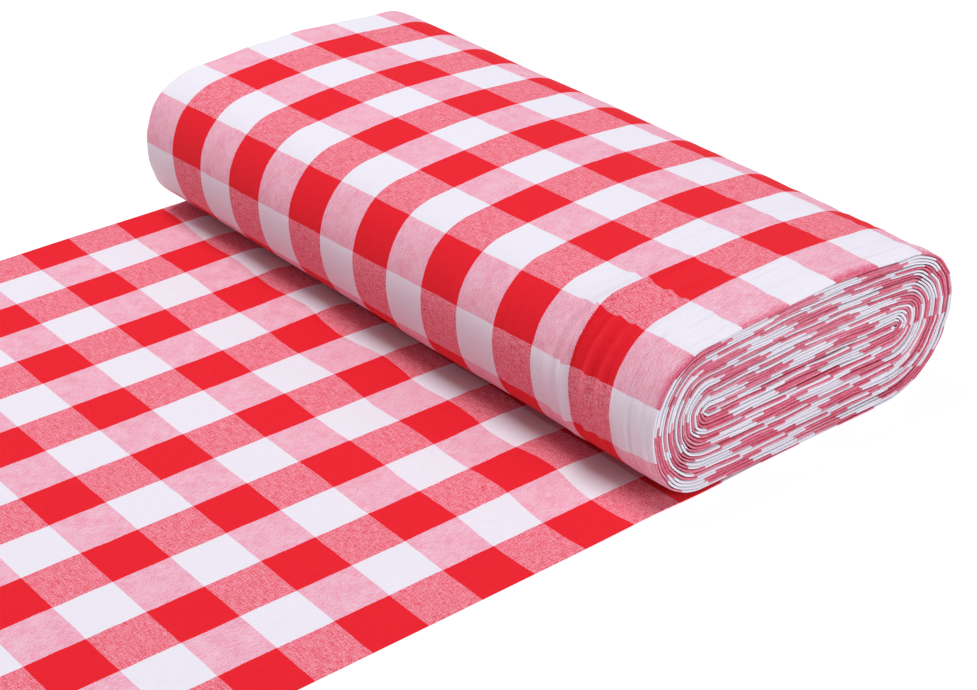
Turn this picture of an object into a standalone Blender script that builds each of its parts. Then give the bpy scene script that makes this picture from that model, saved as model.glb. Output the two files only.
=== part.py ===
"""A flat-wound bolt of checked tablecloth cloth, partly unrolled on a flat surface.

The cloth is folded in half lengthwise, so every lap is a doubled strip with the fold
at the front end of the bolt (-Y) and the two selvedges at the back end (+Y).
Each turn modelled here stands for two laps of it.
It is wound on a thin grey board. The laid length leaves the underside of the bolt
towards -X, and the bolt has turned over a little askew, so that it leans from the laid
cloth's cross-grain. Metres, +Z up, origin at the bottom centre of the whole object.
"""

import math

import bmesh
import bpy
from mathutils import Matrix

# ---------------------------------------------------------------- driving dimensions

CLOTH_WIDTH = 0.562          # doubled width: half of a 1.124 m wide cloth
CLOTH_THICK = 0.0011         # the two plies of the doubled cloth, pressed flat
LAID_LENGTH = 0.477          # unrolled cloth, from its cut end to where the bolt bears on it

TURN_COUNT = 12              # turns on the bolt, each standing for two laps of cloth
TURN_THICK = 0.0035          # a turn: its two laps, and the air that their soft folds hold

BOLT_LEAN = 0.034            # how far the bolt runs towards -X for each metre towards +Y

BOARD_WIDTH = 0.180          # the board inside, across the bolt
BOARD_THICK = 0.003
BOARD_RECESS = 0.040         # how far each end of the board sits inside the bolt

# Slack in the winding: the air between one turn and the next on each side of the bolt.
# It is wound tighter on the left and looser below, and the top is crowned between its
# two shoulders.
SLACK_RIGHT = 0.00094
SLACK_SHOULDER = 0.00020
SLACK_CROWN = 0.00060
SLACK_LEFT = 0.00008
SLACK_BOTTOM = 0.00100

# ---------------------------------------------------------------- clearances

GAP = 0.0003                 # between solids that touch in the real object
BOARD_CLEARANCE = 0.0003     # between the board and the innermost turn
BEND_ROOM = 0.0012           # each side of the bend line where the laid length lifts

# ---------------------------------------------------------------- worked-out sizes

ARC_STEPS = 14               # points round each end of the bolt
FLAT_STEPS = 8               # points along each flat of the bolt

pitch_right = TURN_THICK + GAP + SLACK_RIGHT
pitch_shoulder = TURN_THICK + GAP + SLACK_SHOULDER
pitch_crown = TURN_THICK + GAP + SLACK_CROWN
pitch_left = TURN_THICK + GAP + SLACK_LEFT
pitch_bottom = TURN_THICK + GAP + SLACK_BOTTOM

half_width = CLOTH_WIDTH / 2
start_radius = BOARD_THICK / 2 + BOARD_CLEARANCE + TURN_THICK / 2
half_flat = BOARD_WIDTH / 2 - BOARD_THICK / 2
end_turn = math.pi * (start_radius + pitch_right * TURN_COUNT / 2)
around = 2 * end_turn + 4 * half_flat
arc_share = end_turn / around
flat_share = 2 * half_flat / around

axis_height = TURN_THICK / 2 + start_radius + pitch_bottom * TURN_COUNT
board_length = CLOTH_WIDTH - 2 * BOARD_RECESS


def smooth_mix(a, b, share):
    """From a to b with no corner at either end."""
    ease = (1 - math.cos(math.pi * share)) / 2
    return a + (b - a) * ease


def one_turn():
    """Each station round the bolt: share of the turn, centre of the bend, normal, pitch."""
    stations = []
    for step in range(ARC_STEPS):
        part = step / ARC_STEPS
        angle = -math.pi / 2 + math.pi * part
        if part < 0.5:
            pitch = smooth_mix(pitch_bottom, pitch_right, part * 2)
        else:
            pitch = smooth_mix(pitch_right, pitch_shoulder, part * 2 - 1)
        stations.append((part * arc_share, half_flat, angle, pitch))
    for step in range(FLAT_STEPS):
        part = step / FLAT_STEPS
        crown = math.sin(math.pi * part)
        pitch = pitch_shoulder + (pitch_crown - pitch_shoulder) * crown
        place = half_flat - 2 * half_flat * part
        stations.append((arc_share + part * flat_share, place, math.pi / 2, pitch))
    for step in range(ARC_STEPS):
        part = step / ARC_STEPS
        angle = math.pi / 2 + math.pi * part
        if part < 0.5:
            pitch = smooth_mix(pitch_shoulder, pitch_left, part * 2)
        else:
            pitch = smooth_mix(pitch_left, pitch_bottom, part * 2 - 1)
        stations.append((arc_share + flat_share + part * arc_share, -half_flat, angle, pitch))
    for step in range(FLAT_STEPS):
        part = step / FLAT_STEPS
        place = -half_flat + 2 * half_flat * part
        share = 2 * arc_share + flat_share + part * flat_share
        stations.append((share, place, -math.pi / 2, pitch_bottom))
    return stations


def turn_path(turn):
    """Points of one turn about the board's middle, from its outer end to its inner end."""
    points = []
    stations = one_turn()
    closing = (1.0, stations[0][1], stations[0][2], stations[0][3])
    for share, place, angle, pitch in stations + [closing]:
        radius = start_radius + pitch * (turn - share)
        points.append((place + radius * math.cos(angle), radius * math.sin(angle)))
    return points


def trimmed(points, amount):
    """The same path, shortened by amount at both ends."""
    result = list(points)
    for end, inner in ((0, 1), (-1, -2)):
        dx = result[inner][0] - result[end][0]
        dz = result[inner][1] - result[end][1]
        length = math.hypot(dx, dz)
        x = result[end][0] + dx * amount / length
        z = result[end][1] + dz * amount / length
        result[end] = (x, z)
    return result


outer_path = turn_path(TURN_COUNT)
bolt_reach_right = max(x for x, z in outer_path) + TURN_THICK / 2
bolt_reach_left = -min(x for x, z in outer_path) + TURN_THICK / 2

# The laid length bends up where the bolt begins to bear on it, inside the left bulge.
BEND_INSET = 0.030           # from the bolt's leftmost point to the bend line
bend_from_axis = -bolt_reach_left + BEND_INSET
cut_end_from_axis = bend_from_axis - LAID_LENGTH

# The board's middle along X at the front end, so that the whole object is centred on
# the origin. Everything on the bolt is placed from it, and leans from the front end.
axis_x = -(bolt_reach_right + cut_end_from_axis) / 2


def leaning(x_from_axis, y):
    """A place on the bolt at this height along it, on the ground plan."""
    return axis_x + x_from_axis - BOLT_LEAN * (y + half_width)

# ---------------------------------------------------------------- scene and materials

for old in list(bpy.data.objects):
    bpy.data.objects.remove(old, do_unlink=True)

part_collection = bpy.data.collections.new("tablecloth_bolt")
bpy.context.scene.collection.children.link(part_collection)


def make_material(name, colour, roughness):
    material = bpy.data.materials.new(name)
    material.use_nodes = True
    shader = material.node_tree.nodes["Principled BSDF"]
    shader.inputs["Base Color"].default_value = (*colour, 1.0)
    shader.inputs["Roughness"].default_value = roughness
    shader.inputs["Metallic"].default_value = 0.0
    return material


def add_to_part(name, mesh, colour, roughness):
    part = bpy.data.objects.new(name, mesh)
    mesh.materials.clear()
    mesh.materials.append(make_material(name, colour, roughness))
    part_collection.objects.link(part)
    return part


def plain_mesh(curve_object, name):
    """The curve as a mesh, with its caps welded; the curve is removed."""
    seen = curve_object.evaluated_get(bpy.context.evaluated_depsgraph_get())
    mesh = bpy.data.meshes.new_from_object(seen)
    mesh.name = name
    bpy.data.objects.remove(curve_object, do_unlink=True)
    welded = bmesh.new()
    welded.from_mesh(mesh)
    bmesh.ops.remove_doubles(welded, verts=welded.verts, dist=0.00001)
    welded.to_mesh(mesh)
    welded.free()
    return mesh


def outline_curve(name, points, closed, fill, depth):
    """A 2D curve through points, extruded by half of depth to each side."""
    outline = bpy.data.curves.new(name + "_outline", "CURVE")
    outline.dimensions = "2D"
    outline.fill_mode = fill
    outline.extrude = depth / 2
    spline = outline.splines.new("POLY")
    spline.points.add(len(points) - 1)
    spline.use_cyclic_u = closed
    for point, (x, y) in zip(spline.points, points):
        point.co = (x, y, 0, 1)
    guide = bpy.data.objects.new(name + "_guide", outline)
    bpy.context.scene.collection.objects.link(guide)
    return guide


# ---------------------------------------------------------------- cloth lying flat

RED = (0.77, 0.014, 0.021)
PINK = (0.72, 0.30, 0.36)
CLOTH_ROUGHNESS = 0.9


def flat_cloth(name, left_front, left_back, right_front, right_back):
    """Doubled cloth lying on the surface, given the X of its four corners."""
    corners = [
        (left_front, -half_width),
        (right_front, -half_width),
        (right_back, half_width),
        (left_back, half_width),
    ]
    guide = outline_curve(name, corners, True, "BOTH", CLOTH_THICK)
    sheet = add_to_part(name, plain_mesh(guide, name), RED, CLOTH_ROUGHNESS)
    sheet.location.z = CLOTH_THICK / 2


cut_end_x = axis_x + cut_end_from_axis
laid_end = bend_from_axis - BEND_ROOM
flat_cloth(
    "laid_length",
    cut_end_x,
    cut_end_x,
    leaning(laid_end, -half_width),
    leaning(laid_end, half_width),
)

under_start = bend_from_axis + BEND_ROOM
under_end = half_flat - GAP
flat_cloth(
    "under_layer",
    leaning(under_start, -half_width),
    leaning(under_start, half_width),
    leaning(under_end, -half_width),
    leaning(under_end, half_width),
)

# ---------------------------------------------------------------- wound turns


def wound_cloth(name, points):
    """One turn: a ribbon as wide as the cloth, leaning with the bolt, made thick."""
    guide = outline_curve(name, points, False, "NONE", CLOTH_WIDTH)
    mesh = plain_mesh(guide, name)
    mesh.transform(Matrix.Rotation(math.pi / 2, 4, "X"))
    lean = Matrix.Identity(4)
    lean[0][1] = -BOLT_LEAN
    mesh.transform(lean)
    strip = add_to_part(name, mesh, PINK, CLOTH_ROUGHNESS)
    strip.location = (leaning(0, 0), 0, axis_height)
    solid = strip.modifiers.new("thickness", "SOLIDIFY")
    solid.thickness = TURN_THICK
    solid.offset = 0
    solid.use_even_offset = True
    solid.use_rim = True


for turn in range(1, TURN_COUNT + 1):
    wound_cloth(f"turn_{turn:02d}", trimmed(turn_path(turn), GAP))

# ---------------------------------------------------------------- board

BOARD_GREY = (0.33, 0.30, 0.26)
BOARD_ROUGHNESS = 0.85

bpy.ops.mesh.primitive_cube_add(size=1)
cube = bpy.context.object
board_mesh = cube.data
board_shape = Matrix.Diagonal((BOARD_WIDTH, board_length, BOARD_THICK, 1))
board_shape[0][1] = -BOLT_LEAN * board_length
board_mesh.transform(board_shape)
board_mesh.name = "core_board"
bpy.data.objects.remove(cube, do_unlink=True)
board = add_to_part("core_board", board_mesh, BOARD_GREY, BOARD_ROUGHNESS)
board.location = (leaning(0, 0), 0, axis_height)
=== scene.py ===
"""A flat-wound bolt of red and white checked tablecloth cloth, partly unrolled."""

import math

import bpy
import numpy as np
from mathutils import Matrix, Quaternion, Vector


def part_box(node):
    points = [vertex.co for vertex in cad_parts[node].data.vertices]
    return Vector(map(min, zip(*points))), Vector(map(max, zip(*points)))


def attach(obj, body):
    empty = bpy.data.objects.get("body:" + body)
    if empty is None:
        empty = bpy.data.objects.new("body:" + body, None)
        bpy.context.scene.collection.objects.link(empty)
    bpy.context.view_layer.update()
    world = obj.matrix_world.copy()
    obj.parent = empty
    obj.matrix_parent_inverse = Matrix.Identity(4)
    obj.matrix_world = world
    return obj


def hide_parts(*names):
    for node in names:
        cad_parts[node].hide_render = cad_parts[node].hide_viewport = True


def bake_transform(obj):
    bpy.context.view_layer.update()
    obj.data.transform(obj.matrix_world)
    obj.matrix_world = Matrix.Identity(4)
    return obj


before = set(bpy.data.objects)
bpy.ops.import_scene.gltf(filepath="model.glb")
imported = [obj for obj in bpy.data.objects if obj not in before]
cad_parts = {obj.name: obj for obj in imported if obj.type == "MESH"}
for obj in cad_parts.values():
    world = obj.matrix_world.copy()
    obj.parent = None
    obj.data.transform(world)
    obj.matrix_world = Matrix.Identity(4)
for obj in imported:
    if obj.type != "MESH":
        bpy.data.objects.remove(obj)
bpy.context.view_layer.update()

# ---------------------------------------------------------------- camera
# A long lens looks down on the front end of the bolt, along its length and a little
# from the laid side, so that the folded ends of all the turns are seen.

camera_data = bpy.data.cameras.new("camera")
camera_data.sensor_width = 36
camera_data.lens = 80.5
camera_data.clip_start = 0.05
camera_data.clip_end = 50
camera = bpy.data.objects.new("camera", camera_data)
bpy.context.scene.collection.objects.link(camera)
camera.location = (-0.7476, -1.0914, 0.8029)
azimuth = math.radians(49.63)
descent = math.radians(30.39)
roll = math.radians(1.28)
aim = Vector((
    math.cos(descent) * math.cos(azimuth),
    math.cos(descent) * math.sin(azimuth),
    -math.sin(descent),
))
turn_view = aim.to_track_quat("-Z", "Y") @ Quaternion((0, 0, 1), roll)
camera.rotation_euler = turn_view.to_euler()
bpy.context.scene.camera = camera

# ---------------------------------------------------------------- floor and light
# A plain white floor under a wide overhead softbox, with a white room round it, so
# that shadows are short and soft.

bpy.ops.mesh.primitive_plane_add(size=12, location=(0, 0, -0.00005))
floor = bpy.context.object
floor.name = "floor"
floor_finish = bpy.data.materials.new("white_floor")
floor_finish.use_nodes = True
floor_shader = floor_finish.node_tree.nodes["Principled BSDF"]
floor_shader.inputs["Base Color"].default_value = (0.35, 0.35, 0.35, 1)
floor_shader.inputs["Roughness"].default_value = 0.9
floor_shader.inputs["Emission Color"].default_value = (1, 1, 1, 1)
floor_shader.inputs["Emission Strength"].default_value = 0.80
floor.data.materials.append(floor_finish)


def softbox(name, place, target, size, power):
    light = bpy.data.lights.new(name, "AREA")
    light.shape = "SQUARE"
    light.size = size
    light.energy = power
    lamp = bpy.data.objects.new(name, light)
    lamp.location = place
    way = Vector(target) - Vector(place)
    lamp.rotation_euler = way.to_track_quat("-Z", "Y").to_euler()
    bpy.context.scene.collection.objects.link(lamp)


softbox("main", (-0.3, 1.3, 3.2), (0.1, 0, 0), 1.3, 92)
softbox("front_fill", (0.5, -2.0, 0.9), (0.1, -0.2, 0.06), 1.2, 19)

room = bpy.data.worlds.new("white_room")
room.use_nodes = True
room.node_tree.nodes["Background"].inputs["Color"].default_value = (0.97, 0.93, 1, 1)
room.node_tree.nodes["Background"].inputs["Strength"].default_value = 0.32
bpy.context.scene.world = room
bpy.context.scene.view_settings.view_transform = "Standard"

# ---------------------------------------------------------------- the board
# A thin grey board, pressed from waste paper, which stiffens the bolt. Fibres and dark
# flecks show in its faces. The wound cloth grips it, and nothing else holds it.

board_low, board_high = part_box("core_board")


class Nodes:
    """Adds and links the nodes of one material."""

    def __init__(self, material):
        material.use_nodes = True
        self.tree = material.node_tree
        self.shader = self.tree.nodes["Principled BSDF"]

    def add(self, kind, settings=None, **inputs):
        node = self.tree.nodes.new(kind)
        for key, value in (settings or {}).items():
            setattr(node, key, value)
        for key, value in inputs.items():
            socket = node.inputs[int(key[1:])]
            if isinstance(value, bpy.types.NodeSocket):
                self.tree.links.new(value, socket)
            else:
                socket.default_value = value
        return node

    def maths(self, operation, a, b=0.0, c=0.0):
        node = self.add("ShaderNodeMath", {"operation": operation}, i0=a, i1=b)
        node.inputs[2].default_value = c
        return node.outputs[0]

    def spread(self, value, gain, middle=0.5):
        """A noise made stronger about its middle, for the share of a mix."""
        return self.maths("MULTIPLY_ADD", value, gain, middle - gain * 0.5)

    def mix(self, share, a, b):
        node = self.add("ShaderNodeMix", {"data_type": "RGBA"}, i0=share, i6=a, i7=b)
        return node.outputs[2]

    def noise(self, where, stretch, detail=2.0, rough=0.5):
        """Noise with this many lumps to a unit of the coordinates, on each axis."""
        mapping = self.add("ShaderNodeMapping", None, i0=where)
        mapping.inputs["Scale"].default_value = stretch
        node = self.add("ShaderNodeTexNoise", None, i0=mapping.outputs[0])
        node.inputs["Scale"].default_value = 1.0
        node.inputs["Detail"].default_value = detail
        node.inputs["Roughness"].default_value = rough
        return node.outputs[0]

    def bump(self, height, distance, strength=1.0, below=None):
        node = self.add("ShaderNodeBump")
        node.inputs["Strength"].default_value = strength
        node.inputs["Distance"].default_value = distance
        self.tree.links.new(height, node.inputs["Height"])
        if below is not None:
            self.tree.links.new(below, node.inputs["Normal"])
        return node.outputs[0]

    def finish(self, colour, normal, roughness, specular):
        self.tree.links.new(colour, self.shader.inputs["Base Color"])
        self.tree.links.new(normal, self.shader.inputs["Normal"])
        self.shader.inputs["Roughness"].default_value = roughness
        self.shader.inputs["Specular IOR Level"].default_value = specular


grey_board = bpy.data.materials.new("grey_board")
nodes = Nodes(grey_board)
where = nodes.add("ShaderNodeTexCoord").outputs["Object"]
mottle = nodes.noise(where, (45, 45, 45), 4.0, 0.6)
fibres = nodes.noise(where, (260, 900, 400), 3.0, 0.7)
flecks = nodes.maths("GREATER_THAN", nodes.noise(where, (520, 520, 520), 1.0), 0.70)
pulp = nodes.mix(nodes.spread(mottle, 1.6), (0.25, 0.23, 0.20, 1), (0.35, 0.33, 0.29, 1))
pulp = nodes.mix(nodes.spread(fibres, 1.2, 0.25), pulp, (0.46, 0.44, 0.40, 1))
pulp = nodes.mix(nodes.maths("MULTIPLY", flecks, 0.6), pulp, (0.12, 0.11, 0.10, 1))
nodes.finish(pulp, nodes.bump(fibres, 0.00015, 0.5), 0.92, 0.15)
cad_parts["core_board"].material_slots[0].material = grey_board

# ---------------------------------------------------------------- the wound cloth
# Plain-weave cotton, yarn-dyed in bands of red and white both ways, is doubled down its
# middle and wound flat round the board. It is one strip, which starts under the bolt,
# where the laid length runs in, and winds inwards. Each turn here is two laps of it.

CLOTH_COLUMNS = 15           # checks across the doubled cloth
PLY = 0.00045
LAID_DOUBLE = 0.0010         # the two plies lying flat
BOLT_LEAN = 0.034            # how far the bolt runs towards -X for each metre towards +Y
LAPS_A_TURN = 2
BOARD_CLEARANCE = 0.0003     # between the board and the innermost lap
BEND_INSET = 0.030           # from the bolt's side at -X in to where it bears on the surface
TUCKED = 0.020               # how far the laid length runs in past that line, under the bolt

cloth_low, cloth_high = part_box("under_layer")
CLOTH_WIDTH = cloth_high[1] - cloth_low[1]
FRONT = cloth_low[1]
CHECK = CLOTH_WIDTH / CLOTH_COLUMNS

LAID_ROW = 0.0414            # a row of checks along the laid cloth
LAID_ROW_EDGE = -0.1010      # on it, where a row of red weft ends and one of white begins
BOLT_ROW = 0.0442            # a row of checks on the bolt, wound under tension
LEFT_ROW = 0.0420            # and down its side at -X, where it is wound tighter
TOP_ROW_EDGE = 0.0651        # on top, from the board's middle to where a red row starts
ROW_SKEW = 0.035             # how far the rows run askew to the bolt
WIDE_BAND = 0.20             # how much wider the first band is, in columns
SHOULDER_DROP = 0.0002       # how much less each lap rises at the shoulders than at the crown

axis_x = (board_low[0] + board_high[0]) / 2 + BOLT_LEAN * CLOTH_WIDTH / 2
axis_z = (board_low[2] + board_high[2]) / 2
board_thick = board_high[2] - board_low[2]
board_width = board_high[0] - board_low[0] - BOLT_LEAN * (board_high[1] - board_low[1])
half_flat = (board_width - board_thick) / 2
TURN_COUNT = sum(1 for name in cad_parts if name.startswith("turn_"))
last_low, last_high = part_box(f"turn_{TURN_COUNT:02d}")
laps = TURN_COUNT * LAPS_A_TURN

# the pitches fill the room between the board and the bolt's outside; the strip winds
# inwards as it goes round, so its outermost lap has part of a lap less at each side
grip = board_thick / 2 + BOARD_CLEARANCE
reach_right = last_high[0] - axis_x - half_flat
reach_left = axis_x - half_flat - last_low[0] - BOLT_LEAN * CLOTH_WIDTH
reach_crown = last_high[2] - axis_z
pitch_right = (reach_right - grip) / (laps + 0.9)
pitch_left = (reach_left - grip) / (laps + 0.4)
pitch_crown = (reach_crown - grip) / (laps + 0.65)
pitch_bottom = (axis_z - grip) / (laps + 1)
pitch_shoulder = pitch_crown - SHOULDER_DROP
start_height = pitch_bottom / 2
start_radius = axis_z - start_height - pitch_bottom * laps
arc_share = math.pi * (start_radius + pitch_right * laps / 2)
arc_share /= 2 * arc_share + 4 * half_flat
flat_share = 0.5 - arc_share
bend_x = last_low[0] + BOLT_LEAN * CLOTH_WIDTH + BEND_INSET
bolt_start_x = axis_x + half_flat
first_bolt_row = (bend_x + TUCKED - LAID_ROW_EDGE) / LAID_ROW


def gingham():
    """Cotton gingham. Its UV map counts rows of checks (U) and columns from the fold (V)."""
    material = bpy.data.materials.new("gingham_cotton")
    nodes = Nodes(material)
    where = nodes.add("ShaderNodeUVMap", {"uv_map": "cloth"}).outputs[0]
    parts = nodes.add("ShaderNodeSeparateXYZ", None, i0=where)
    along, across = parts.outputs[0], parts.outputs[1]
    from_fold = nodes.maths("ABSOLUTE", across)

    # the edges of the bands wander, and step by a yarn
    wander = nodes.spread(nodes.noise(where, (1.7, 1.7, 1)), 0.035, 0)
    jitter = nodes.spread(nodes.noise(where, (60, 60, 1), 0.0), 0.022, 0)
    wander = nodes.maths("ADD", wander, jitter)
    row = nodes.maths("FLOOR", nodes.maths("ADD", along, wander))
    column = nodes.maths("FLOOR", nodes.maths("ADD", across, wander))
    weft_red = nodes.maths("FLOORED_MODULO", row, 2.0)
    warp_white = nodes.maths("FLOORED_MODULO", column, 2.0)

    # where red crosses white, the yarns show as flecks, and slubs in them as streaks
    warp_slub = nodes.noise(where, (7, 46, 1), 2.0, 0.6)
    weft_slub = nodes.noise(where, (52, 4.5, 1), 2.0, 0.6)
    fleck = nodes.noise(where, (42, 42, 1), 2.0, 0.7)
    fine_fleck = nodes.noise(where, (80, 60, 1), 0.0)
    patch = nodes.noise(where, (3, 3, 1), 1.0)
    slubs = nodes.maths("ADD", warp_slub, weft_slub)
    streaks = nodes.maths("MULTIPLY_ADD", patch, 0.4, 0.3)
    streaks = nodes.maths("ADD", nodes.maths("ADD", streaks, warp_slub), fleck)
    streaks = nodes.maths("ADD", streaks, fine_fleck)
    pale_grain = nodes.maths("MULTIPLY_ADD", streaks, 2.2, -3.9)
    heather = nodes.maths("ADD", nodes.maths("ADD", slubs, fleck), fleck)
    deep_grain = nodes.maths("MULTIPLY_ADD", heather, 1.5, -2.5)
    pale = nodes.mix(pale_grain, PINK_PALE[0], PINK_PALE[1])
    deep = nodes.mix(deep_grain, PINK_DEEP[0], PINK_DEEP[1])

    # the weft goes round the fold, so there it hides the warp; the pink there is also deepened
    # with painted shade and painted red bounce light in the crest of the fold
    fold_shade_share = nodes.maths("MULTIPLY_ADD", from_fold, -11.0, 1.7)
    folded_shaded = nodes.mix(pale_grain, PINK_FOLD_SHADED[0], PINK_FOLD_SHADED[1])
    pale = nodes.mix(fold_shade_share, pale, folded_shaded)

    red = nodes.mix(nodes.spread(slubs, 1.0, 0.0), RED, RED_SLUB)
    white = nodes.mix(nodes.spread(slubs, 1.0, 0.0), WHITE, WHITE_SLUB)
    warp_is_red = nodes.mix(weft_red, deep, red)
    warp_is_white = nodes.mix(weft_red, white, pale)
    colour = nodes.mix(warp_white, warp_is_red, warp_is_white)

    # ripples run along the wound cloth, strongest near its fold
    on_bolt = nodes.maths("MULTIPLY_ADD", along, 0.4, -0.4 * first_bolt_row + 0.5)
    on_bolt = nodes.maths("MINIMUM", nodes.maths("MAXIMUM", on_bolt, 0.12), 1.0)
    near_fold = nodes.maths("EXPONENT", nodes.maths("MULTIPLY", from_fold, -0.45))
    ripple = nodes.noise(where, (0.35, 5.5, 1), 1.0)
    ripple = nodes.maths("MULTIPLY", ripple, nodes.maths("MULTIPLY", near_fold, on_bolt))
    ripples = nodes.bump(ripple, 0.0045)

    # plain weave, over one and under one
    yarns = nodes.add("ShaderNodeMapping", None, i0=where)
    yarns.inputs["Scale"].default_value = (80, 80, 1)
    split = nodes.add("ShaderNodeSeparateXYZ", None, i0=yarns.outputs[0])
    wave_a = nodes.maths("SINE", nodes.maths("MULTIPLY", split.outputs[0], math.pi))
    wave_b = nodes.maths("SINE", nodes.maths("MULTIPLY", split.outputs[1], math.pi))
    weave = nodes.maths("MULTIPLY", nodes.maths("MULTIPLY", wave_a, wave_b), 0.3)
    selvedge = nodes.maths("GREATER_THAN", from_fold, CLOTH_COLUMNS - 0.12)
    height = nodes.maths("ADD", nodes.maths("ADD", weave, slubs), selvedge)
    nodes.finish(colour, nodes.bump(height, 0.00025, 0.5, ripples), 0.88, 0.06)
    nodes.shader.inputs["Sheen Weight"].default_value = 0.04
    nodes.shader.inputs["Sheen Roughness"].default_value = 0.6
    return material


RED = (0.800, 0.016, 0.030, 1)
RED_SLUB = (0.70, 0.008, 0.018, 1)
WHITE = (0.810, 0.795, 0.860, 1)
WHITE_SLUB = (0.74, 0.71, 0.79, 1)
PINK_PALE = (0.76, 0.26, 0.37, 1), (0.82, 0.54, 0.64, 1)
PINK_DEEP = (0.72, 0.035, 0.070, 1), (0.83, 0.34, 0.42, 1)
# the deeper pinks of the fold crests: partly the red weft round the fold, partly painted shade
# and painted red bounce light
PINK_FOLD_SHADED = (0.60, 0.06, 0.13, 1), (0.74, 0.22, 0.32, 1)
cotton = gingham()


def ease(share):
    return (1 - np.cos(np.pi * np.clip(share, 0, 1))) / 2


def wound(inward):
    """Places on the winding, inward laps in from its outer start, and the pitch there.
    Seen from the fold's end, the cloth winds anticlockwise and inwards."""
    share = np.mod(inward, 1.0)
    right = share / arc_share
    top = (share - arc_share) / flat_share
    left = (share - arc_share - flat_share) / arc_share
    bottom = (share - 2 * arc_share - flat_share) / flat_share
    pitch = np.select(
        [right < 0.5, right < 1, top < 1, left < 0.5, left < 1],
        [
            pitch_bottom + (pitch_right - pitch_bottom) * ease(right * 2),
            pitch_right + (pitch_shoulder - pitch_right) * ease(right * 2 - 1),
            pitch_shoulder + (pitch_crown - pitch_shoulder) * np.sin(np.pi * top),
            pitch_shoulder + (pitch_left - pitch_shoulder) * ease(left * 2),
            pitch_left + (pitch_bottom - pitch_left) * ease(left * 2 - 1),
        ],
        pitch_bottom,
    )
    angle = np.select(
        [right < 1, top < 1, left < 1],
        [-np.pi / 2 + np.pi * right, np.pi / 2, np.pi / 2 + np.pi * left],
        -np.pi / 2,
    )
    place = np.select(
        [right < 1, top < 1, left < 1],
        [half_flat, half_flat - 2 * half_flat * top, -half_flat],
        -half_flat + 2 * half_flat * bottom,
    )
    radius = start_radius + pitch * (laps - inward)
    x = axis_x + place + radius * np.cos(angle)
    z = axis_z + radius * np.sin(angle)
    return x, z, pitch


def outwards(x, z):
    """Unit normals to the right of the line's direction, which is the bolt's outside."""
    dx, dz = np.gradient(x), np.gradient(z)
    length = np.hypot(dx, dz)
    return dz / length, -dx / length


def drift(where, size, seed):
    """Smooth unevenness between -1 and 1, with lumps about this size."""
    draw = np.random.RandomState(seed)
    total = np.zeros(len(where))
    for _ in range(6):
        way = draw.normal(size=3)
        way /= np.linalg.norm(way) * size
        total += np.sin(2 * np.pi * (where @ way) * draw.uniform(0.5, 1.1) + draw.uniform(0, 6.3))
    return total / 3.5


def along_only(stops):
    return np.stack([stops, 0 * stops, 0 * stops], 1)


def doubled_cloth(x, z, rows, double, spread_out, spread_in, setback, fold_place, pinch):
    """A doubled strip of cloth: the outer ply, the soft fold at -Y and the inner ply.
    The plies draw together towards the fold, which lies beside a band's edge."""
    nx, nz = outwards(x, z)
    around_fold = np.radians([75, 45, 15, -15, -45, -75])
    radius = double / 2
    fold_depth = radius * 0.8
    columns = []
    for side, spread in ((1, spread_out[::-1]), (0, around_fold), (-1, spread_in)):
        for value in spread:
            if side:
                depth = fold_depth + value * (CLOTH_WIDTH - fold_depth - setback)
                offset = side * radius * (1 - pinch * np.exp(-(depth - fold_depth) / 0.005))
                from_fold = (depth + radius / 2) * CLOTH_WIDTH
                from_fold = from_fold / (CLOTH_WIDTH - setback + radius / 2)
                sign = -side
            else:
                depth = fold_depth * (1 - math.cos(value))
                offset = radius * (1 - pinch) * math.sin(value)
                from_fold = radius * (1 - pinch) * abs(value)
                sign = -1 if value > 0 else 1
            column = sign * from_fold / CHECK
            column = column - fold_place * np.exp(-from_fold / CHECK / 0.5)
            y = FRONT + setback + depth
            columns.append((x + nx * offset, y + 0 * x, z + nz * offset, rows, column))
    grid = np.array(columns)                   # profile, xyzuv, station
    return np.transpose(grid, (2, 0, 1)).copy()


def sheet_object(name, grid):
    """A mesh from a grid of points, with its cloth coordinates, given its thickness."""
    stations, profile = grid.shape[:2]
    places = grid[:, :, :3].reshape(-1, 3)
    first = np.arange(stations - 1)[:, None] * profile + np.arange(profile - 1)[None]
    first = first.ravel()
    faces = np.stack([first, first + 1, first + profile + 1, first + profile], 1)
    mesh = bpy.data.meshes.new(name)
    mesh.vertices.add(len(places))
    mesh.vertices.foreach_set("co", places.ravel())
    mesh.loops.add(faces.size)
    mesh.loops.foreach_set("vertex_index", faces.ravel())
    mesh.polygons.add(len(faces))
    mesh.polygons.foreach_set("loop_start", np.arange(len(faces)) * 4)
    mesh.update()
    layer = mesh.uv_layers.new(name="cloth")
    flat = grid[:, :, 3:].reshape(-1, 2)
    layer.data.foreach_set("uv", flat[faces.ravel()].ravel())
    mesh.validate()
    mesh.shade_smooth()
    cloth = bpy.data.objects.new(name, mesh)
    bpy.context.scene.collection.objects.link(cloth)
    thickness = cloth.modifiers.new("ply", "SOLIDIFY")
    thickness.thickness = PLY
    thickness.offset = 0
    seen = cloth.evaluated_get(bpy.context.evaluated_depsgraph_get())
    solid = bpy.data.meshes.new_from_object(seen)
    cloth.modifiers.clear()
    cloth.data = solid
    solid.materials.clear()
    solid.materials.append(cotton)
    return cloth


STATION = 0.0032             # distance between stations along the cloth
TURN_AIR = 0.00014           # between one lap and the next
GAPING_LAPS = (6, 8, 9)      # laps that part a little in the lower bend at -X
COARSE = np.array([0, .002, .006, .014, .03, .06, .10, .25, .5, .75, .93, .975, .99, .997, 1])
RIDGED = np.concatenate([
    COARSE[:3], np.arange(0.0085, 0.235, 0.0039), np.linspace(0.24, 0.99, 35), COARSE[-2:],
])

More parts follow.
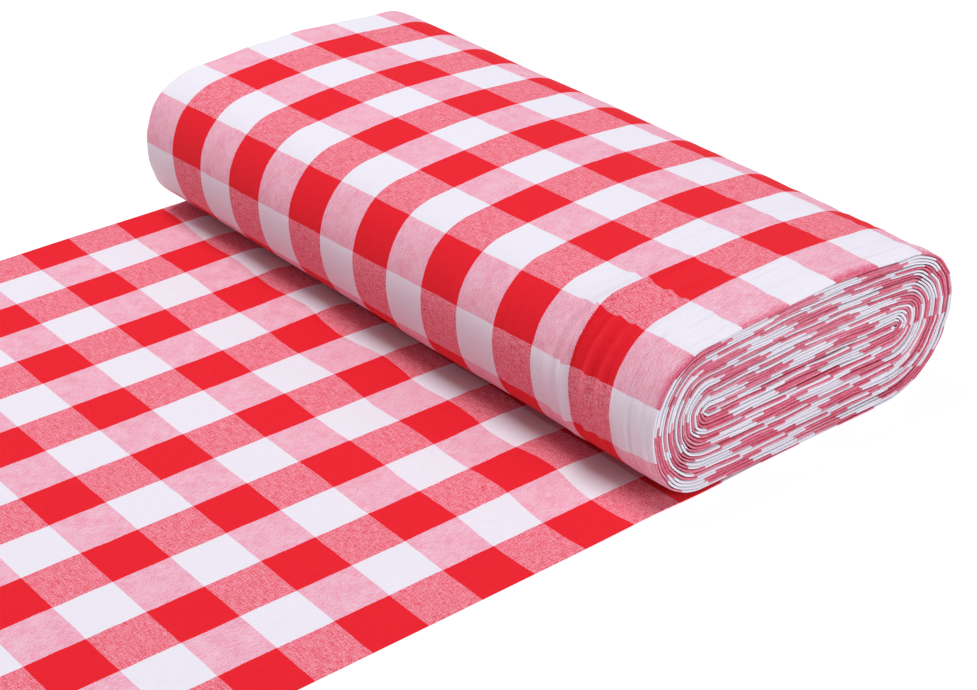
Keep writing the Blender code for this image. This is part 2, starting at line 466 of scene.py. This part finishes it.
under_x = np.arange(bend_x + TUCKED, bolt_start_x, STATION)
rise = ease((under_x - under_x[0]) / (bolt_start_x - under_x[0]))
under_z = LAID_DOUBLE / 2 + rise * (start_height - LAID_DOUBLE / 2)
fine_turns = np.linspace(0, laps, 12000)
wound_x, wound_z, wound_pitch = wound(fine_turns)
path_x = np.concatenate([under_x, wound_x])
path_z = np.concatenate([under_z, wound_z])
path_pitch = np.concatenate([np.full(len(under_x), pitch_bottom), wound_pitch])
path_inward = np.concatenate([np.linspace(-0.4, -0.001, len(under_x)), fine_turns])
run = np.concatenate([[0], np.cumsum(np.hypot(np.diff(path_x), np.diff(path_z)))])
bolt_start_run = np.interp(0, path_inward, run)

# the rows under the bolt are spaced so that a red row starts at its place on top
on_top = (path_inward > arc_share) & (path_inward < arc_share + flat_share)
edge_run = np.interp(-TOP_ROW_EDGE, -(path_x[on_top] - axis_x), run[on_top])
rows_to_edge = (edge_run - bolt_start_run) / BOLT_ROW
free_rows = first_bolt_row + bolt_start_run / LAID_ROW + rows_to_edge
start_row = 2 * round((free_rows - 1) / 2) + 1 - rows_to_edge
shoulder_run = np.interp(arc_share + 0.6 * flat_share, path_inward, run)
shoulder_row = start_row + (shoulder_run - bolt_start_run) / BOLT_ROW
last_row = shoulder_row + (run[-1] - shoulder_run) / LEFT_ROW
path_rows = np.interp(
    run,
    [0, bolt_start_run, shoulder_run, run[-1]],
    [first_bolt_row, start_row, shoulder_row, last_row],
)


def settled(grid):
    """The small unevenness of cloth wound by hand, the same through the whole bolt."""
    where = grid[:, :, :3].reshape(-1, 3)
    x, y, z = where.T.copy()
    calm = np.clip(z / 0.02, 0, 1)
    stretched = where * np.array([1, 0.35, 1])
    move_z = 0.0010 * drift(stretched, 0.16, 3) + 0.0004 * drift(stretched, 0.05, 4)
    move_x = 0.0010 * drift(stretched, 0.16, 5) + 0.0004 * drift(stretched, 0.05, 6)

    # the laps waver at the ends of the bolt, where no board holds them
    from_end = CLOTH_WIDTH / 2 - np.abs(y)
    loose = np.exp(-from_end / 0.03)
    close_set = where * np.array([1, 0.5, 2.6])
    move_z += 0.0007 * loose * drift(close_set, 0.036, 14)
    move_x += 0.0005 * loose * drift(close_set, 0.036, 15)

    # past the ends of the board the middle of the bolt closes up, and on it lies flat
    past_board = ease((np.abs(y) - board_high[1]) / 0.022)
    sideways = (x - axis_x) / half_flat
    off_board = np.hypot(np.clip(np.abs(x - axis_x) - half_flat, 0, 1), z - axis_z) - grip
    free = past_board + (1 - past_board) * ease(off_board / 0.030)
    between_tips = ease((1.24 - np.abs(sideways)) / 0.18)
    above = z - axis_z
    room = np.where(above > 0, 0.0034 + 0.0005 * sideways, 0.0022 - 0.0005 * sideways)
    part = np.abs(above) / room
    shut = room * part / (1 + part ** 6) ** (1 / 6)
    shut = shut * np.exp(-np.clip(np.abs(above) - room, 0, 1) / 0.020)
    closing = np.sign(above) * shut * past_board * between_tips
    where[:, 0] += move_x * calm * free
    where[:, 2] += (move_z * free - closing) * calm
    grid[:, :, :3] = where.reshape(grid.shape[0], grid.shape[1], 3)
    return grid


def ridged(grid, x, z, stops, inward):
    """Raises ridges on the slack outer ply, which run round the bolt near its front end."""
    plies = grid[:, : len(RIDGED)]
    depth = plies[:, :, 1] - FRONT
    nx, nz = outwards(x, z)
    around = stops[:, None] + 0 * depth
    flat = np.stack([around.ravel() * 0.10, depth.ravel(), 0 * depth.ravel()], 1)
    fine = drift(flat, 0.0075, 41).reshape(depth.shape)
    broad = drift(flat, 0.022, 42).reshape(depth.shape)
    lift = 0.0005 * (0.8 + fine) * np.exp(-depth / 0.045)
    lift += 0.0008 * (0.8 + broad) * np.exp(-depth / 0.16)
    at_left = np.exp(-((inward - arc_share - flat_share - 0.03) / 0.11) ** 2)[:, None]

    # each ridge's distance from the fold, its height and the seed of its wandering
    ridges = (0.081, 0.0062, 51), (0.062, 0.0030, 52), (0.049, 0.0028, 53), (0.028, 0.0014, 55)
    for place, height, seed in ridges:
        line = place + 0.004 * drift(along_only(stops), 0.12, seed)[:, None]
        ridge = np.exp(-((depth - line) / 0.0037) ** 2)
        ridge += 0.35 * np.exp(-((depth - line - 0.0120) / 0.0045) ** 2)
        lift += height * ridge * (0.13 + 0.87 * at_left)
    lift = (lift + np.sqrt(lift ** 2 + 0.0002 ** 2)) / 2 - 0.0001
    nip = arc_share + flat_share + 0.86 * arc_share
    held = ease((inward - 0.02) / 0.08) * ease((nip - inward) / 0.035)
    lift *= np.clip(depth / 0.012, 0, 1) * held[:, None]
    plies[:, :, 0] += lift * nx[:, None]
    plies[:, :, 2] += lift * nz[:, None]
    return grid


def leaning(grid):
    """The same grid, leaning with the bolt from its front end."""
    grid[:, :, 0] -= BOLT_LEAN * (grid[:, :, 1] - FRONT)
    return grid


for turn in range(TURN_COUNT):
    number = TURN_COUNT - turn
    outermost = turn == 0
    start = 0 if outermost else np.interp(turn * LAPS_A_TURN, path_inward, run)
    end = np.interp((turn + 1) * LAPS_A_TURN, path_inward, run)
    step = STATION * (1.25 if outermost else 1)
    stops = np.linspace(start, end, int(round((end - start) / step)) + 1)
    x, z, rows, inward, pitch = [
        np.interp(stops, run, line)
        for line in (path_x, path_z, path_rows, path_inward, path_pitch)
    ]
    share = np.mod(inward, 1)
    left_bend = np.exp(-((share - 2 * arc_share * 0.86 - flat_share) / 0.035) ** 2)
    slack = 0.14 * (1 + drift(along_only(stops), 0.16, 9)) / 2
    slack = slack + 0.30 * left_bend * (number in GAPING_LAPS)
    full = (pitch - PLY - TURN_AIR) * (1 - slack)
    grow = ease(stops / bolt_start_run) if outermost else 1.0
    double = (LAID_DOUBLE - PLY) + grow * (full - LAID_DOUBLE + PLY)
    double = np.minimum(double, 2 * z - PLY)
    setback = 0.0007 * (1 + drift(along_only(stops), 0.11, 8))
    if outermost:
        setback = setback * ease(stops / 0.05)
    spread_out = RIDGED if outermost else COARSE
    fold_place = 0.080 + 0.035 * drift(along_only(stops), 0.07, 31)
    if outermost:
        fold_place = fold_place * ease(stops / 0.05)
    pinch = 0.30 + 0.14 * drift(along_only(stops), 0.09, 33)
    grid = doubled_cloth(x, z, rows, double, spread_out, COARSE, setback, fold_place, pinch)
    if outermost:
        # the first band on top is wider, and the bands run askew down the side at -X
        wide = WIDE_BAND * (1 - ease((share - arc_share - 0.8 * flat_share) / 0.21))
        from_fold = (grid[:, :, 1] - FRONT) / CHECK
        on_outer = grid[:, :, 4] < 0
        grid[:, :, 4] += wide[:, None] * (1 - np.exp(-from_fold / 0.35)) * on_outer
    skewed = ROW_SKEW * (grid[:, :, 1] - FRONT) / BOLT_ROW
    grid[:, :, 3] -= skewed * np.clip(stops / bolt_start_run, 0, 1)[:, None]
    if outermost:
        grid = ridged(grid, x, z, stops, inward)
    cloth = sheet_object(f"cloth_turn_{number:02d}", leaning(settled(grid)))
    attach(cloth, "bolt")
    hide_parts(f"turn_{number:02d}", *(["under_layer"] if outermost else []))

# ---------------------------------------------------------------- the laid length
# The unrolled cloth, doubled, lies flat on the surface from its cut end to the bolt, and
# is one with the cloth that runs in under it. Its back edge draws in a little, and small
# puckers run out from under the bolt.

LAID_STATION = 0.004
LAID_CHECK = 0.0381          # a column of checks where the cloth lies slack
BACK_DRAW = 0.0027           # how far the back edge is drawn in
BACK_GATHER = 0.009          # how fast the columns narrow near the back edge
GATHER_FROM = 10.5           # the column that they narrow from
PUCKER = 0.0013

laid_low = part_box("laid_length")[0]
laid_x = np.arange(laid_low[0], bend_x + TUCKED + LAID_STATION, LAID_STATION)
laid_x[-1] = bend_x + TUCKED
laid_spread = np.concatenate([COARSE[:3], np.linspace(0.012, 0.99, 98), COARSE[-2:]])
laid_grid = doubled_cloth(
    laid_x, np.full_like(laid_x, LAID_DOUBLE / 2), (laid_x - LAID_ROW_EDGE) / LAID_ROW,
    np.full_like(laid_x, LAID_DOUBLE - PLY), laid_spread, laid_spread,
    np.zeros_like(laid_x), -0.05 * ease((laid_x[-1] - laid_x) / TUCKED), 0.0,
)
near_end = np.clip((laid_grid[:, :, 0] - bend_x + 0.02) / (0.02 + TUCKED), 0, 1)

# the columns, which join those on the bolt where the cloth goes in under it
laid_depth = (laid_grid[:, :, 1] - FRONT) / LAID_CHECK
laid_column = laid_depth + BACK_GATHER * np.clip(laid_depth - GATHER_FROM, 0, 9) ** 2
shift = (laid_column - laid_depth * LAID_CHECK / CHECK) * np.sign(laid_grid[:, :, 4])
laid_grid[:, :, 4] += shift * (1 - near_end)

back_share = np.clip((laid_grid[:, :, 1] - FRONT) / CLOTH_WIDTH / 0.3 - 7 / 3, 0, 1)
laid_grid[:, :, 1] -= BACK_DRAW * back_share ** 2 * (1 - near_end)
where = laid_grid[:, :, :3].reshape(-1, 3)
puckers = drift(where * np.array([0.22, 1, 0]), 0.050, 21)
puckers += 0.5 * drift(where * np.array([1, 1, 0]), 0.09, 22)
near_bolt = np.exp(-np.abs(where[:, 0] - bend_x + 0.03) / 0.07)
waver = 0.12 * drift(where * np.array([0.3, 1, 0]), 0.07, 23) * near_bolt
laid_grid[:, :, 3] += waver.reshape(laid_grid.shape[:2]) * (1 - near_end)
held = np.clip((bend_x + TUCKED - where[:, 0]) / 0.04, 0, 1)
lift = PUCKER * np.clip(puckers + 0.5, 0, 2) * (0.22 + near_bolt) * held
laid_grid[:, :, 2] += lift.reshape(laid_grid.shape[:2])
lean_share = np.clip((laid_grid[:, :, 0] - bend_x + 0.04) / (0.04 + TUCKED), 0, 1)
laid_grid[:, :, 0] -= BOLT_LEAN * lean_share * (laid_grid[:, :, 1] - FRONT)
laid_cloth = sheet_object("laid_cloth", laid_grid)
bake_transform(laid_cloth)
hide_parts("laid_length")

# ---------------------------------------------------------------- the loose warp yarns
# The cut end isn't hemmed, so the last wefts have come away there and the ends of the
# warp yarns stand loose, red and white by turns as the columns are.

YARNS = 620                  # loose ends in each ply
YARN_LENGTH = 0.0032         # of the longest
YARN_ROOT = 0.0008           # how far in from the cut a yarn starts
YARN_RADIUS = 0.00014
YARN_SLANT = 0.7             # radians to either side
YARN_LIFT = 0.22             # radians upwards
SHORTEST_SHARE = 0.15
EDGE_BARE = 0.001            # left bare at each end of the row


def loose_ends():
    """A tree that sets loose yarns, at random lengths and slants, along a straight cut end."""
    tree = bpy.data.node_groups.new("loose_ends", "GeometryNodeTree")
    wanted = {
        "Near Corner": "Vector", "Far Corner": "Vector", "Count": "Int", "Length": "Float",
        "Radius": "Float", "Seed": "Int", "Finish": "Material",
    }
    for name, kind in wanted.items():
        tree.interface.new_socket(name, in_out="INPUT", socket_type=f"NodeSocket{kind}")
    tree.interface.new_socket("Geometry", in_out="OUTPUT", socket_type="NodeSocketGeometry")

    def add(kind, settings, inputs):
        node = tree.nodes.new(kind)
        for key, value in settings.items():
            setattr(node, key, value)
        for key, value in inputs.items():
            if isinstance(value, bpy.types.NodeSocket):
                tree.links.new(value, node.inputs[key])
            else:
                node.inputs[key].default_value = value
        return node

    given = add("NodeGroupInput", {}, {}).outputs
    line = add("GeometryNodeMeshLine", {"mode": "END_POINTS"}, {
        "Count": given["Count"],
        "Start Location": given["Near Corner"],
        "Offset": given["Far Corner"],
    })

    # a yarn bows up a little between its root, inside the cloth, and its tip
    places = []
    for along, up in ((-0.5, 0.10), (-1.0, 0.02)):
        x, z = [
            add("ShaderNodeMath", {"operation": "MULTIPLY"}, {0: given["Length"], 1: share})
            for share in (along, up)
        ]
        places.append(add("ShaderNodeCombineXYZ", {}, {0: x.outputs[0], 2: z.outputs[0]}))
    yarn = add("GeometryNodeCurveQuadraticBezier", {}, {
        "Resolution": 4,
        "Start": (YARN_ROOT, 0, 0),
        "Middle": places[0].outputs[0],
        "End": places[1].outputs[0],
    })
    section = add("GeometryNodeCurvePrimitiveCircle", {}, {
        "Resolution": 5, "Radius": given["Radius"],
    })
    round_yarn = add("GeometryNodeCurveToMesh", {}, {
        "Curve": yarn.outputs["Curve"],
        "Profile Curve": section.outputs["Curve"],
        "Fill Caps": True,
    })
    slant = add("FunctionNodeRandomValue", {"data_type": "FLOAT_VECTOR"}, {
        "Min": (0, 0, -YARN_SLANT), "Max": (0, YARN_LIFT, YARN_SLANT), "Seed": given["Seed"],
    })
    share = add("FunctionNodeRandomValue", {"data_type": "FLOAT"}, {
        2: SHORTEST_SHARE, 3: 1.0, "Seed": given["Seed"],
    })
    size = add("ShaderNodeCombineXYZ", {}, {0: share.outputs[1], 1: 1.0, 2: 1.0})
    ends = add("GeometryNodeInstanceOnPoints", {}, {
        "Points": line.outputs["Mesh"],
        "Instance": round_yarn.outputs["Mesh"],
        "Rotation": slant.outputs[0],
        "Scale": size.outputs[0],
    })
    real = add("GeometryNodeRealizeInstances", {}, {"Geometry": ends.outputs["Instances"]})
    finished = add("GeometryNodeSetMaterial", {}, {
        "Geometry": real.outputs["Geometry"], "Material": given["Finish"],
    })
    add("NodeGroupOutput", {}, {"Geometry": finished.outputs["Geometry"]})
    return tree


def yarn_finish(name, first):
    """Dyed yarn, red and white by turns in the columns of the cloth it comes out of."""
    material = bpy.data.materials.new(name)
    nodes = Nodes(material)
    where = nodes.add("ShaderNodeTexCoord").outputs["Object"]
    y = nodes.add("ShaderNodeSeparateXYZ", None, i0=where).outputs[1]
    column = nodes.maths("MULTIPLY_ADD", y, 1 / LAID_CHECK, -FRONT / LAID_CHECK)
    gathered = nodes.maths("MAXIMUM", nodes.maths("SUBTRACT", column, GATHER_FROM), 0.0)
    gathered = nodes.maths("MULTIPLY", gathered, gathered)
    column = nodes.maths("ADD", column, nodes.maths("MULTIPLY", gathered, BACK_GATHER))
    column = nodes.maths("FLOOR", nodes.maths("ADD", column, float(first)))
    white = nodes.maths("FLOORED_MODULO", column, 2.0)
    fibre = nodes.noise(where, (900, 4000, 4000), 2.0)
    red = nodes.mix(fibre, RED, RED_SLUB)
    pale = nodes.mix(fibre, WHITE, WHITE_SLUB)
    nodes.finish(nodes.mix(white, red, pale), nodes.bump(fibre, 0.00005), 0.9, 0.05)
    return material


yarn_tree = loose_ends()
given = {
    item.name: item.identifier
    for item in yarn_tree.interface.items_tree if item.in_out == "INPUT"
}
back_edge = FRONT + CLOTH_WIDTH - BACK_DRAW
for ply, height, first in (("upper", LAID_DOUBLE - PLY / 2, 0), ("lower", PLY / 2, 1)):
    name = f"loose_yarns_{ply}"
    yarns = bpy.data.objects.new(name, bpy.data.meshes.new(name))
    bpy.context.scene.collection.objects.link(yarns)
    ends = yarns.modifiers.new("ends", "NODES")
    ends.node_group = yarn_tree
    ends[given["Near Corner"]] = (laid_low[0], FRONT + EDGE_BARE, height)
    ends[given["Far Corner"]] = (laid_low[0], back_edge - EDGE_BARE, height)
    ends[given["Count"]] = YARNS
    ends[given["Length"]] = YARN_LENGTH
    ends[given["Radius"]] = YARN_RADIUS
    ends[given["Seed"]] = 7 + first
    ends[given["Finish"]] = yarn_finish(f"dyed_yarn_{ply}", first)
    seen = yarns.evaluated_get(bpy.context.evaluated_depsgraph_get())
    plain = bpy.data.meshes.new_from_object(seen)
    yarns.modifiers.clear()
    yarns.data = plain
    plain.shade_smooth()
    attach(yarns, "laid")
